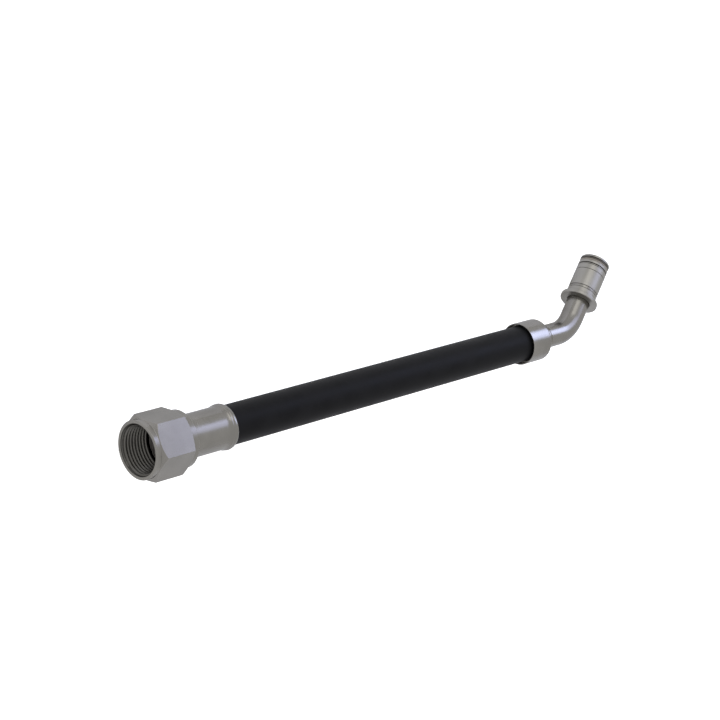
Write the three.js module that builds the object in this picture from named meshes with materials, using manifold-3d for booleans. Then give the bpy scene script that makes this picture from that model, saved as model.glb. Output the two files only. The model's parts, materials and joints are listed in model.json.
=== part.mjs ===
// Hydraulic hose assembly: a one-wire hose with a crimped face-seal swivel nut on one end
// and a 45 degree bent tube with a quick-connect male plug on the other.
//
// Millimetres, +Z up. The hose runs along +X from the nut to the elbow, the elbow bends
// towards +Y in the level plane, and the origin is under the middle of the whole part.
// Every round piece is drawn as an outline of [x, r] points: along its axis, and out from it.

import * as THREE from "three";
import { mergeVertices } from "three/addons/utils/BufferGeometryUtils.js";
import Module from "manifold-3d";

const wasm = await Module();
wasm.setup();

// ---- driving dimensions -------------------------------------------------------------

const GAP = 0.3; // clearance kept between touching pieces
const SIDES = 32; // facets around every round piece

const HOSE_RADIUS = 12.05;
const HOSE_BORE_RADIUS = 7.95;
const BRAID_INNER_RADIUS = 9.6;
const BRAID_OUTER_RADIUS = 10.2;
const CRIMPED_HOSE_RADIUS = 11.0;
const HOSE_START = 37.6;
const HOSE_END = 342.0;

const NUT_LENGTH = 30.4;
const NUT_ACROSS_FLATS = 34.925;
const NUT_CORNER_RADIUS = NUT_ACROSS_FLATS / Math.sqrt(3);
const NUT_FRONT_COLLAR = { end: 3.0, radius: 17.2 };
const NUT_REAR_COLLAR = { start: 26.6, radius: 17.0 };
const NUT_CORNERS = { from: 5.2, to: 24.8 }; // where the hexagon has its full corners
const NUT_CLOCKING = THREE.MathUtils.degToRad(-14);
const NUT_REAR_HOLE_RADIUS = 10.0;

const THREAD_PITCH = 25.4 / 12;
const THREAD_MAJOR_RADIUS = 15.08;
const THREAD_MINOR_RADIUS = 13.95;
const THREAD_START = 1.5;
const THREAD_TURNS = 6;

const SEAL_FACE = 19.0;
const STEM_HEAD_RADIUS = 13.5;
const STEM_CONE_START = 21.7;
const STEM_NECK_RADIUS = 9.6;
const STEM_SHOULDER_RADIUS = 10.9;
const STEM_BORE_RADIUS = 5.9;
const BARB_RADIUS = 7.6;
const BARB_ROOT_RADIUS = 7.1;
const BARB_PITCH = 4.5;

const WIRE_POSITION = 27.5;
const WIRE_SECTION_RADIUS = 0.65;
const WIRE_RING_RADIUS = 9.75;
const WIRE_GROOVE_HALF_WIDTH = 1.0;

const NUT_FERRULE_FRONT = 31.6;
const NUT_FERRULE_REAR = 63.6;
const NUT_FERRULE_RADIUS = 12.85;
const NUT_FERRULE_WALL = 1.5;
const CRIMP_END = 57.0;
const BELL_CREASE = { position: 60.0, radius: 13.55 };
const BELL_CREST = { position: 61.9, radius: 13.8 };
const FERRULE_LIP = 3.0;

const PLUG_FERRULE_FRONT = 328.5;
const PLUG_FERRULE_REAR = 347.6;
const PLUG_FERRULE_RADIUS = 14.15;
const PLUG_FERRULE_ROUNDING = 1.8;
const PLUG_FERRULE_LIP = 2.4;
const PLUG_FERRULE_MOUTH_RADIUS = 13.4;
const PLUG_FERRULE_MOUTH_DEPTH = 4.0;
const FERRULE_LIP_RADIUS = STEM_NECK_RADIUS + GAP;

const TUBE_RADIUS = 8.0;
const TUBE_BORE_RADIUS = 6.0;
const TUBE_SOCKET_RADIUS = TUBE_RADIUS + GAP;
const TUBE_START = 346.8;
const ELBOW_STEM_REAR = 353.4;
const ELBOW_VERTEX = 380.1; // where the hose axis and the plug axis cross
const ELBOW_ANGLE = THREE.MathUtils.degToRad(45);
const ELBOW_BEND_RADIUS = 26.9;

// Plug end: measured along the plug axis from the elbow's vertex.
const TUBE_END = 40.0;
const PLUG_END = 58.7;
const PLUG_RADIUS = 10.6;
const PLUG_NECK_RADIUS = 9.1;
const PLUG_NECK_REAR = 28.6;
const PLUG_HEAD_REAR = 46.9;
const SNAP_GROOVE = { from: 50.3, to: 52.3, radius: 8.7 };
const SEAL_GROOVE = { from: 53.9, to: 56.9, radius: 8.7 };
const SLEEVE_FRONT = 24.3;
const SLEEVE_REAR = PLUG_HEAD_REAR - GAP;
const SLEEVE_BORE_RADIUS = PLUG_NECK_RADIUS + GAP;
const FLANGE_RADIUS = 13.2;
const FLANGE_THICKNESS = 2.6;
const SLEEVE_LIP = { thickness: 1.0, radius: 8.3 };
const BAND_GROOVE = { from: 31.2, to: 33.5, radius: 9.9 };

// ---- shapes -------------------------------------------------------------------------

/** Turns an outline around the X axis: outer points with x rising, bore points with x falling. */
function revolve(outer, bore) {
  const outline = [...outer, ...bore, outer[0]];
  const points = outline.map(([x, r]) => new THREE.Vector2(r, x));
  return new THREE.LatheGeometry(points, SIDES).rotateZ(-Math.PI / 2);
}

/** A straight-walled ring between two stations on the axis. */
function washer(from, to, inner, outer) {
  return revolve([[from, outer], [to, outer]], [[to, inner], [from, inner]]);
}

/** A ring of round wire or cord, centred on the axis at one station. */
function wireRing(position, ringRadius, sectionRadius) {
  return new THREE.TorusGeometry(ringRadius, sectionRadius, 8, SIDES)
    .rotateY(Math.PI / 2)
    .translate(position, 0, 0);
}

/** Points of an arc in the [x, r] plane, from one angle to another in degrees. */
function arc(x, r, radius, fromDegrees, toDegrees, steps) {
  return Array.from({ length: steps + 1 }, (_, i) => {
    const angle = THREE.MathUtils.degToRad(fromDegrees + ((toDegrees - fromDegrees) * i) / steps);
    return [x + radius * Math.cos(angle), r + radius * Math.sin(angle)];
  });
}

/** A closed three.js geometry as a manifold-3d solid. */
function toSolid(geometry) {
  const bare = geometry.clone();
  bare.deleteAttribute("normal");
  bare.deleteAttribute("uv");
  const merged = mergeVertices(bare, 1e-4);
  return new wasm.Manifold(new wasm.Mesh({
    numProp: 3,
    vertProperties: new Float32Array(merged.attributes.position.array),
    triVerts: new Uint32Array(merged.index.array),
  }));
}

/** A manifold-3d solid as a three.js geometry. */
function toGeometry(solid) {
  const mesh = solid.getMesh();
  const geometry = new THREE.BufferGeometry();
  geometry.setAttribute("position", new THREE.BufferAttribute(mesh.vertProperties, 3));
  geometry.setIndex(new THREE.BufferAttribute(mesh.triVerts, 1));
  geometry.computeVertexNormals();
  return geometry;
}

// ---- nut end ------------------------------------------------------------------------

/** Thread ridges of the nut, from the deepest one out to the mouth, as bore points. */
function threadOutline() {
  const points = [];
  for (let turn = THREAD_TURNS - 1; turn >= 0; turn -= 1) {
    const start = THREAD_START + turn * THREAD_PITCH;
    points.push(
      [start + THREAD_PITCH, THREAD_MINOR_RADIUS],
      [start + 0.58 * THREAD_PITCH, THREAD_MAJOR_RADIUS],
      [start + 0.42 * THREAD_PITCH, THREAD_MAJOR_RADIUS],
    );
  }
  return [...points, [THREAD_START, THREAD_MINOR_RADIUS]];
}

/** Hexagonal swivel nut: a round collar at each end, threaded socket, and a coned seat for the stem. */
function swivelNut() {
  const hexagon = new THREE.CylinderGeometry(NUT_CORNER_RADIUS, NUT_CORNER_RADIUS, NUT_LENGTH, 6)
    .rotateZ(-Math.PI / 2)
    .rotateX(Math.PI / 2 + NUT_CLOCKING)
    .translate(NUT_LENGTH / 2, 0, 0);
  const clear = NUT_CORNER_RADIUS + 0.1;
  const mouthRadius = THREAD_MAJOR_RADIUS + 0.1;
  const seatRadius = 14.4;
  const seatStart = STEM_CONE_START - GAP;
  const wireGroove = { from: WIRE_POSITION - WIRE_GROOVE_HALF_WIDTH, to: WIRE_POSITION + WIRE_GROOVE_HALF_WIDTH };
  const turned = revolve(
    [
      [0, NUT_FRONT_COLLAR.radius],
      [NUT_FRONT_COLLAR.end, NUT_FRONT_COLLAR.radius],
      [NUT_CORNERS.from, clear],
      [NUT_CORNERS.to, clear],
      [NUT_REAR_COLLAR.start, NUT_REAR_COLLAR.radius],
      [NUT_LENGTH, NUT_REAR_COLLAR.radius],
    ],
    [
      [NUT_LENGTH, NUT_REAR_HOLE_RADIUS],
      [wireGroove.to, NUT_REAR_HOLE_RADIUS],
      [wireGroove.to, NUT_REAR_HOLE_RADIUS + 0.7],
      [wireGroove.from, NUT_REAR_HOLE_RADIUS + 0.7],
      [wireGroove.from, NUT_REAR_HOLE_RADIUS],
      [seatStart + seatRadius - NUT_REAR_HOLE_RADIUS, NUT_REAR_HOLE_RADIUS],
      [seatStart, seatRadius],
      [SEAL_FACE, seatRadius],
      ...threadOutline(),
      [0, mouthRadius],
    ],
  );
  return toGeometry(toSolid(hexagon).intersect(toSolid(turned)));
}

/** Saw-tooth barbs of a hose tail, with x rising, each tooth's crest towards its rear. */
function barbs(from, count) {
  return Array.from({ length: count }, (_, i) => [
    [from + i * BARB_PITCH, BARB_ROOT_RADIUS],
    [from + (i + 0.85) * BARB_PITCH, BARB_RADIUS],
    [from + (i + 1) * BARB_PITCH, BARB_RADIUS],
  ]).flat();
}

/** Flat-faced swivel stem: sealing head, coned shoulder, wire groove, and barbed hose tail. */
function swivelStem() {
  const shoulder = NUT_FERRULE_FRONT + FERRULE_LIP + GAP;
  const tail = HOSE_START - GAP;
  const groove = { from: WIRE_POSITION - WIRE_GROOVE_HALF_WIDTH, to: WIRE_POSITION + WIRE_GROOVE_HALF_WIDTH };
  const tailTip = tail + 5 * BARB_PITCH;
  return revolve(
    [
      [SEAL_FACE, STEM_HEAD_RADIUS - 0.3],
      [SEAL_FACE + 0.3, STEM_HEAD_RADIUS],
      [STEM_CONE_START, STEM_HEAD_RADIUS],
      [STEM_CONE_START + STEM_HEAD_RADIUS - STEM_NECK_RADIUS, STEM_NECK_RADIUS],
      [groove.from, STEM_NECK_RADIUS],
      [groove.from, STEM_NECK_RADIUS - 0.8],
      [groove.to, STEM_NECK_RADIUS - 0.8],
      [groove.to, STEM_NECK_RADIUS],
      [shoulder, STEM_NECK_RADIUS],
      [shoulder, STEM_SHOULDER_RADIUS],
      [tail, STEM_SHOULDER_RADIUS],
      ...barbs(tail, 5),
      [tailTip + 2.0, BARB_ROOT_RADIUS - 0.4],
    ],
    [[tailTip + 2.0, STEM_BORE_RADIUS], [SEAL_FACE, STEM_BORE_RADIUS]],
  );
}

/** Crimped ferrule: the barrel bites the hose, and its rear end flares into a rounded bead. */
function nutEndFerrule() {
  const barrelBore = NUT_FERRULE_RADIUS - NUT_FERRULE_WALL;
  const lipEnd = NUT_FERRULE_FRONT + FERRULE_LIP;
  return revolve(
    [
      [NUT_FERRULE_FRONT, 11.6],
      [NUT_FERRULE_FRONT + 2, NUT_FERRULE_RADIUS],
      [CRIMP_END - 0.5, NUT_FERRULE_RADIUS],
      [BELL_CREASE.position, BELL_CREASE.radius],
      [BELL_CREST.position, BELL_CREST.radius],
      [NUT_FERRULE_REAR - 0.5, BELL_CREST.radius - 0.2],
      [NUT_FERRULE_REAR, BELL_CREST.radius - 0.6],
    ],
    [
      [NUT_FERRULE_REAR, 12.7],
      [NUT_FERRULE_REAR - 2, HOSE_RADIUS + 0.35],
      [CRIMP_END, barrelBore],
      [lipEnd, barrelBore],
      [lipEnd, FERRULE_LIP_RADIUS],
      [NUT_FERRULE_FRONT, FERRULE_LIP_RADIUS],
    ],
  );
}

// ---- hose ---------------------------------------------------------------------------

/** Synthetic rubber cover, squeezed thin where the nut-end ferrule is crimped on it. */
function hoseCover() {
  const flareEnd = NUT_FERRULE_REAR - 2;
  const inner = BRAID_OUTER_RADIUS + GAP;
  return revolve(
    [
      [HOSE_START, CRIMPED_HOSE_RADIUS],
      [CRIMP_END, CRIMPED_HOSE_RADIUS],
      [flareEnd, HOSE_RADIUS],
      [HOSE_END, HOSE_RADIUS],
    ],
    [[HOSE_END, inner], [HOSE_START, inner]],
  );
}

// ---- elbow end ----------------------------------------------------------------------

/** Ferrule of the elbow end: a plain barrel with a wide mouth and a rounded shoulder round the stem. */
function plugEndFerrule() {
  const bore = HOSE_RADIUS + 0.35;
  const rounding = PLUG_FERRULE_ROUNDING;
  const lipStart = PLUG_FERRULE_REAR - PLUG_FERRULE_LIP;
  return revolve(
    [
      [PLUG_FERRULE_FRONT, PLUG_FERRULE_RADIUS - 0.3],
      [PLUG_FERRULE_FRONT + 0.3, PLUG_FERRULE_RADIUS],
      ...arc(PLUG_FERRULE_REAR - rounding, PLUG_FERRULE_RADIUS - rounding, rounding, 90, 0, 4),
    ],
    [
      [PLUG_FERRULE_REAR, FERRULE_LIP_RADIUS],
      [lipStart, FERRULE_LIP_RADIUS],
      [lipStart, bore],
      [PLUG_FERRULE_FRONT + PLUG_FERRULE_MOUTH_DEPTH, bore],
      [PLUG_FERRULE_FRONT + PLUG_FERRULE_MOUTH_DEPTH, PLUG_FERRULE_MOUTH_RADIUS],
      [PLUG_FERRULE_FRONT, PLUG_FERRULE_MOUTH_RADIUS],
    ],
  );
}

/** Stem of the elbow end: barbed tail in the hose, shoulder, neck, and a socket for the tube. */
function elbowStem() {
  const shoulder = HOSE_END + GAP;
  const shoulderEnd = PLUG_FERRULE_REAR - PLUG_FERRULE_LIP - GAP;
  const tailTip = shoulder - 2.8 * BARB_PITCH;
  const socket = TUBE_START - GAP;
  const teeth = [0, 1].flatMap((i) => [
    [tailTip + (0.8 + i) * BARB_PITCH, BARB_RADIUS],
    [tailTip + (0.95 + i) * BARB_PITCH, BARB_RADIUS],
    [tailTip + (1 + i) * BARB_PITCH, BARB_ROOT_RADIUS],
  ]);
  return revolve(
    [
      [tailTip, BARB_ROOT_RADIUS - 0.4],
      ...teeth,
      [shoulder, BARB_ROOT_RADIUS],
      [shoulder, STEM_SHOULDER_RADIUS + 0.9],
      [shoulderEnd, STEM_SHOULDER_RADIUS + 0.9],
      [shoulderEnd, STEM_NECK_RADIUS],
      [ELBOW_STEM_REAR - 0.4, STEM_NECK_RADIUS],
      [ELBOW_STEM_REAR, STEM_NECK_RADIUS - 0.4],
    ],
    [
      [ELBOW_STEM_REAR, TUBE_SOCKET_RADIUS],
      [socket, TUBE_SOCKET_RADIUS],
      [socket, STEM_BORE_RADIUS],
      [tailTip, STEM_BORE_RADIUS],
    ],
  );
}

/** Fillet of filler metal where the tube is brazed into a socket. */
function brazeRing(from, to, outer) {
  return revolve(
    [[from, outer], [to, TUBE_SOCKET_RADIUS + 0.35]],
    [[to, TUBE_SOCKET_RADIUS], [from, TUBE_SOCKET_RADIUS]],
  );
}

/** Centre line of the bent tube: straight, a 45 degree arc, straight. */
class ElbowAxis extends THREE.Curve {
  constructor() {
    super();
    const tangent = ELBOW_BEND_RADIUS * Math.tan(ELBOW_ANGLE / 2);
    this.bendStart = ELBOW_VERTEX - tangent;
    this.lead = this.bendStart - TUBE_START;
    this.bend = ELBOW_BEND_RADIUS * ELBOW_ANGLE;
    this.total = this.lead + this.bend + TUBE_END - tangent;
  }

  getPoint(t, target = new THREE.Vector3()) {
    const distance = t * this.total;
    const angle = THREE.MathUtils.clamp((distance - this.lead) / ELBOW_BEND_RADIUS, 0, ELBOW_ANGLE);
    const before = Math.min(distance - this.lead, 0);
    const after = Math.max(distance - this.lead - this.bend, 0);
    return target.set(
      this.bendStart + before + ELBOW_BEND_RADIUS * Math.sin(angle) + after * Math.cos(angle),
      ELBOW_BEND_RADIUS * (1 - Math.cos(angle)) + after * Math.sin(angle),
      0,
    );
  }
}

/** Bent steel tube. */
function elbowTube() {
  const wall = new THREE.Shape().absarc(0, 0, TUBE_RADIUS, 0, 2 * Math.PI, false);
  wall.holes.push(new THREE.Path().absarc(0, 0, TUBE_BORE_RADIUS, 0, 2 * Math.PI, true));
  return new THREE.ExtrudeGeometry(wall, {
    extrudePath: new ElbowAxis(),
    steps: 18,
    curveSegments: 14,
  });
}

/** Male plug: a neck with the tube's socket, then the head with its two grooves. */
function plugNipple() {
  const socketEnd = TUBE_END + GAP;
  return revolve(
    [
      [PLUG_NECK_REAR, PLUG_NECK_RADIUS],
      [PLUG_HEAD_REAR, PLUG_NECK_RADIUS],
      [PLUG_HEAD_REAR, PLUG_RADIUS],
      [SNAP_GROOVE.from, PLUG_RADIUS],
      [SNAP_GROOVE.from, SNAP_GROOVE.radius],
      [SNAP_GROOVE.to, SNAP_GROOVE.radius],
      [SNAP_GROOVE.to, PLUG_RADIUS],
      [SEAL_GROOVE.from, PLUG_RADIUS],
      [SEAL_GROOVE.from, SEAL_GROOVE.radius],
      [SEAL_GROOVE.to, SEAL_GROOVE.radius],
      [SEAL_GROOVE.to, PLUG_RADIUS],
      [PLUG_END - 0.5, PLUG_RADIUS],
      [PLUG_END, PLUG_RADIUS - 0.5],
    ],
    [
      [PLUG_END, TUBE_BORE_RADIUS],
      [socketEnd, TUBE_BORE_RADIUS],
      [socketEnd, TUBE_SOCKET_RADIUS],
      [PLUG_NECK_REAR, TUBE_SOCKET_RADIUS],
    ],
  );
}

/** Release sleeve: a thumb flange lipped round the tube, and a collar that slides on the plug's neck. */
function releaseSleeve() {
  const flangeEnd = SLEEVE_FRONT + FLANGE_THICKNESS;
  return revolve(
    [
      [SLEEVE_FRONT, FLANGE_RADIUS - 0.6],
      [SLEEVE_FRONT + 0.6, FLANGE_RADIUS],
      [flangeEnd - 0.3, FLANGE_RADIUS],
      [flangeEnd, FLANGE_RADIUS - 0.3],
      [flangeEnd, PLUG_RADIUS],
      [BAND_GROOVE.from, PLUG_RADIUS],
      [BAND_GROOVE.from, BAND_GROOVE.radius],
      [BAND_GROOVE.to, BAND_GROOVE.radius],
      [BAND_GROOVE.to, PLUG_RADIUS],
      [SLEEVE_REAR, PLUG_RADIUS],
    ],
    [
      [SLEEVE_REAR, SLEEVE_BORE_RADIUS],
      [SLEEVE_FRONT + SLEEVE_LIP.thickness, SLEEVE_BORE_RADIUS],
      [SLEEVE_FRONT + SLEEVE_LIP.thickness, SLEEVE_LIP.radius],
      [SLEEVE_FRONT, SLEEVE_LIP.radius],
    ],
  );
}

// ---- assembly -----------------------------------------------------------------------

const STEEL = { color: 0x8c8780, roughness: 0.35, metalness: 0.9 };
const PALE_STEEL = { color: 0x9a98a2, roughness: 0.3, metalness: 0.95 };
const BRAZE = { color: 0x9c9078, roughness: 0.4, metalness: 0.9 };
const RUBBER = { color: 0x232326, roughness: 0.6, metalness: 0 };
const TUBE_RUBBER = { color: 0x1b1b1c, roughness: 0.75, metalness: 0 };
const PTFE = { color: 0x8d877d, roughness: 0.5, metalness: 0 };

/** A named piece with its own material. */
function piece(name, geometry, finish) {
  const mesh = new THREE.Mesh(geometry, new THREE.MeshStandardMaterial(finish));
  mesh.name = name;
  return mesh;
}

const nutEnd = new THREE.Group();
nutEnd.add(
  piece("swivel_nut", swivelNut(), PALE_STEEL),
  piece("swivel_stem", swivelStem(), STEEL),
  piece("thrust_wire", wireRing(WIRE_POSITION, WIRE_RING_RADIUS, WIRE_SECTION_RADIUS), STEEL),
  piece("nut_end_ferrule", nutEndFerrule(), STEEL),
);

const hose = new THREE.Group();
hose.add(
  piece("hose_inner_tube", washer(HOSE_START, HOSE_END, HOSE_BORE_RADIUS, BRAID_INNER_RADIUS - GAP), TUBE_RUBBER),
  piece("hose_wire_braid", washer(HOSE_START, HOSE_END, BRAID_INNER_RADIUS, BRAID_OUTER_RADIUS), STEEL),
  piece("hose_cover", hoseCover(), RUBBER),
);

const elbowEnd = new THREE.Group();
elbowEnd.add(
  piece("plug_end_ferrule", plugEndFerrule(), PALE_STEEL),
  piece("elbow_stem", elbowStem(), STEEL),
  piece("stem_braze_ring", brazeRing(ELBOW_STEM_REAR + GAP, ELBOW_STEM_REAR + 1.4, 9.2), BRAZE),
  piece("elbow_tube", elbowTube(), PALE_STEEL),
);

const plug = new THREE.Group();
plug.position.set(ELBOW_VERTEX, 0, 0);
plug.rotation.z = ELBOW_ANGLE;
plug.add(
  piece("plug_nipple", plugNipple(), STEEL),
  piece("plug_braze_ring", brazeRing(PLUG_NECK_REAR - 0.9 - GAP, PLUG_NECK_REAR - GAP, 9.0), BRAZE),
  piece("dust_seal", washer(25.6, 27.1, TUBE_SOCKET_RADIUS, SLEEVE_BORE_RADIUS - GAP), RUBBER),
  piece("release_sleeve", releaseSleeve(), STEEL),
  piece("indicator_band", washer(31.5, 33.2, BAND_GROOVE.radius + GAP, 10.5), PALE_STEEL),
  piece("snap_ring", wireRing(51.3, 9.6, 0.6), STEEL),
  piece("backup_ring", washer(54.2, 54.8, 9.0, 10.4), PTFE),
  piece("o_ring", wireRing(55.85, 9.75, 0.7), RUBBER),
);

const assembly = new THREE.Group();
assembly.add(nutEnd, hose, elbowEnd, plug);

const box = new THREE.Box3().setFromObject(assembly, true);
const middle = box.getCenter(new THREE.Vector3());
assembly.position.set(-middle.x, -middle.y, -box.min.z);

export default assembly;
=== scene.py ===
"""Hydraulic hose assembly: a swivel-nut end, a rubber hose, and a bent tube with a quick-connect plug.

Sizes in the classes are millimetres. A round piece is drawn as an outline of (position, radius)
points, along its axis and out from it. Positions on the hose axis count from the nut's front face,
and those on the plug axis from the point where it crosses the hose axis at the elbow. A Ring is the
(position, ring radius, wire radius) of a wire or seal that lies round an axis.
"""

import json
import logging
import math
from collections.abc import Sequence
from dataclasses import dataclass
from enum import Enum

import bmesh
import bpy
from mathutils import Matrix, Vector


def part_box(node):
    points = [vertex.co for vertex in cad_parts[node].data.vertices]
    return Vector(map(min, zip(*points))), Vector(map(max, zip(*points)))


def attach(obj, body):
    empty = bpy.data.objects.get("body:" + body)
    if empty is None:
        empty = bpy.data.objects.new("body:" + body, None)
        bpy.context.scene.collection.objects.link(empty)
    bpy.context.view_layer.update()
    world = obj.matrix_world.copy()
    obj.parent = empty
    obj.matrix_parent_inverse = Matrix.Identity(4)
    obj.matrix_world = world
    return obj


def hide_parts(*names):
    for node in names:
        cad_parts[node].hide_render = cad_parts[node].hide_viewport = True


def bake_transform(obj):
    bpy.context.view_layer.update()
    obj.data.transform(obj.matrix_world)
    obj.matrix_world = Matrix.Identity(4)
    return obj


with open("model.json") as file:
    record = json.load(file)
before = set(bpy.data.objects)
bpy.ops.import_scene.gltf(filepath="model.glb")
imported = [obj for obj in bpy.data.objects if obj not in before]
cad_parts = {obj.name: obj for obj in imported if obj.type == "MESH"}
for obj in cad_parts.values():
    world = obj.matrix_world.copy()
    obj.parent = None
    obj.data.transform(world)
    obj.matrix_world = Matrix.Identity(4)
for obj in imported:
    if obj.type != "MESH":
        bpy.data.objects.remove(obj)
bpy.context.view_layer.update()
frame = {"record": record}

log = logging.getLogger("hose_assembly")

MM = 0.001
SIDES = 96
MERGE = 1e-6
SMOOTH_BELOW = math.radians(32)
ROUND_ABOVE = math.radians(20)
FULL_TURN = math.tau
SECTION_SIDES = 24
FINE_ROUNDING = 0.12
FACE_AREA_WEIGHT = 100
UNIT = (0, 1)
NOISE_CORE = (0.3, 0.7)
RANGE_SOCKETS = ("From Min", "From Max", "To Min", "To Max")

Point = tuple[float, float]
Color = tuple[float, float, float]
Ring = tuple[float, float, float]


# ---- places -------------------------------------------------------------------------


@dataclass(frozen=True)
class Axis:
    """A level axis that round pieces are turned about.

    Attributes:
        origin: where positions count from, in metres.
        turn: angle from +X towards +Y, in radians.
    """

    origin: Vector
    turn: float = 0.0

    @property
    def direction(self) -> Vector:
        """Unit vector along the axis."""
        return Vector((math.cos(self.turn), math.sin(self.turn), 0))

    def place(self, position: float, radius: float = 0.0) -> Vector:
        """Point in metres at a position along the axis and a radius straight up from it."""
        return self.origin + MM * (position * self.direction + Vector((0, 0, radius)))

    def aside(self, position: float, offset: float) -> Vector:
        """Point in metres at a position along the axis and a level offset to its left."""
        across = Vector((-math.sin(self.turn), math.cos(self.turn), 0))
        return self.origin + MM * (position * self.direction + offset * across)


def hose_axis() -> Axis:
    """The axis of the hose, from the boxes of the nut and of the hose cover.

    Returns:
        The axis, with its origin at the nut's front face.
    """
    nut_low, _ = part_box("swivel_nut")
    cover_low, cover_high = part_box("hose_cover")
    middle = (cover_low + cover_high) / 2
    return Axis(Vector((nut_low.x, middle.y, middle.z)))


def arc(centre: Point, radius: float, start: float, end: float, steps: int = 8) -> list[Point]:
    """Points of an arc in an outline.

    Args:
        centre: the arc's centre, as (position, radius).
        radius: the arc's own radius.
        start: first angle, in degrees from the axis direction towards outward.
        end: last angle, in degrees.
        steps: how many chords the arc has.

    Returns:
        steps + 1 outline points.
    """
    angles = [math.radians(start + (end - start) * i / steps) for i in range(steps + 1)]
    return [(centre[0] + radius * math.cos(a), centre[1] + radius * math.sin(a)) for a in angles]


# ---- modelling ----------------------------------------------------------------------


def select(piece: bpy.types.Object) -> None:
    """Makes a piece the only selected object and the active one."""
    bpy.ops.object.select_all(action="DESELECT")
    piece.select_set(True)
    bpy.context.view_layer.objects.active = piece


def enter_edit(piece: bpy.types.Object) -> None:
    """Selects a piece and opens it in edit mode with all of its vertices selected."""
    select(piece)
    bpy.ops.object.mode_set(mode="EDIT")
    bpy.ops.mesh.select_mode(type="VERT")
    bpy.ops.mesh.select_all(action="SELECT")


def leave_edit() -> None:
    """Goes back to object mode."""
    bpy.ops.object.mode_set(mode="OBJECT")


def new_piece(name: str) -> bpy.types.Object:
    """Takes the primitive that was just added: names it and applies its place."""
    piece = bpy.context.active_object
    piece.name = name
    piece.data.name = name
    bpy.ops.object.transform_apply(location=True, rotation=True, scale=True)
    return piece


def trace(name: str, points: Sequence[Vector]) -> bpy.types.Object:
    """Draws a closed line by extruding one vertex from point to point.

    Args:
        name: the new piece's name.
        points: the corners in metres, the last one joined to the first.

    Returns:
        The piece, left in edit mode.
    """
    bpy.ops.object.select_all(action="DESELECT")
    bpy.ops.mesh.primitive_plane_add(size=MM, location=points[0])
    piece = new_piece(name)
    enter_edit(piece)
    bpy.ops.mesh.merge(type="CENTER")
    for here, there in zip(points, [*points[1:], points[0]]):
        bpy.ops.mesh.extrude_vertices_move(TRANSFORM_OT_translate={"value": there - here})
    bpy.ops.mesh.select_all(action="SELECT")
    bpy.ops.mesh.remove_doubles(threshold=MERGE)
    return piece


def cut_long_edges(piece: bpy.types.Object, cuts: int) -> None:
    """Subdivides the two longest edges of an outline, so that what is turned from it can bend."""
    mesh = bmesh.from_edit_mesh(piece.data)
    longest = sorted(mesh.edges, key=lambda edge: edge.calc_length())[-2:]
    bpy.ops.mesh.select_all(action="DESELECT")
    for edge in longest:
        edge.select_set(True)
    bmesh.update_edit_mesh(piece.data)
    bpy.ops.mesh.subdivide(number_cuts=cuts)


def close_surface() -> None:
    """Merges the seam of the piece in edit mode, turns its faces outward and leaves edit mode."""
    bpy.ops.mesh.select_all(action="SELECT")
    bpy.ops.mesh.remove_doubles(threshold=MERGE)
    bpy.ops.mesh.normals_make_consistent(inside=False)
    leave_edit()


def apply_modifier(piece: bpy.types.Object, modifier: bpy.types.Modifier) -> None:
    """Applies one modifier of a piece."""
    select(piece)
    bpy.ops.object.modifier_apply(modifier=modifier.name)


def round_edges(piece: bpy.types.Object, width: float, segments: int = 2) -> None:
    """Rounds the sharp edges of a piece by a width in millimetres."""
    modifier = piece.modifiers.new("edge_rounding", "BEVEL")
    modifier.width = width * MM
    modifier.segments = segments
    modifier.limit_method = "ANGLE"
    modifier.angle_limit = ROUND_ABOVE
    apply_modifier(piece, modifier)


def smooth(piece: bpy.types.Object) -> None:
    """Shades a piece smooth, with its sharp edges kept and its large faces shaded true."""
    select(piece)
    bpy.ops.object.shade_smooth_by_angle(angle=SMOOTH_BELOW)
    weighted = piece.modifiers.new("true_faces", "WEIGHTED_NORMAL")
    weighted.weight = FACE_AREA_WEIGHT
    weighted.keep_sharp = True
    apply_modifier(piece, weighted)


def combine(piece: bpy.types.Object, tool: bpy.types.Object, operation: str) -> None:
    """Cuts a piece with a tool, or keeps what they share, and removes the tool."""
    modifier = piece.modifiers.new("cut", "BOOLEAN")
    modifier.operation = operation
    modifier.solver = "EXACT"
    modifier.object = tool
    apply_modifier(piece, modifier)
    bpy.data.objects.remove(tool)


def turned(
    name: str, outline: Sequence[Point], axis: Axis, rounding: float = 0.15, cuts: int = 0
) -> bpy.types.Object:
    """Turns a closed outline round an axis.

    Args:
        name: the new piece's name.
        outline: (position, radius) corners in millimetres.
        axis: the axis it is turned about.
        rounding: width of its rounded edges in millimetres, or 0 for none.
        cuts: extra rings along its two longest edges.

    Returns:
        The closed, outward-facing piece.
    """
    piece = trace(name, [axis.place(*point) for point in outline])
    if cuts:
        cut_long_edges(piece, cuts)
    bpy.ops.mesh.select_all(action="SELECT")
    bpy.ops.mesh.spin(steps=SIDES, angle=FULL_TURN, center=axis.origin, axis=axis.direction)
    close_surface()
    if rounding:
        round_edges(piece, rounding)
    smooth(piece)
    return piece


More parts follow.
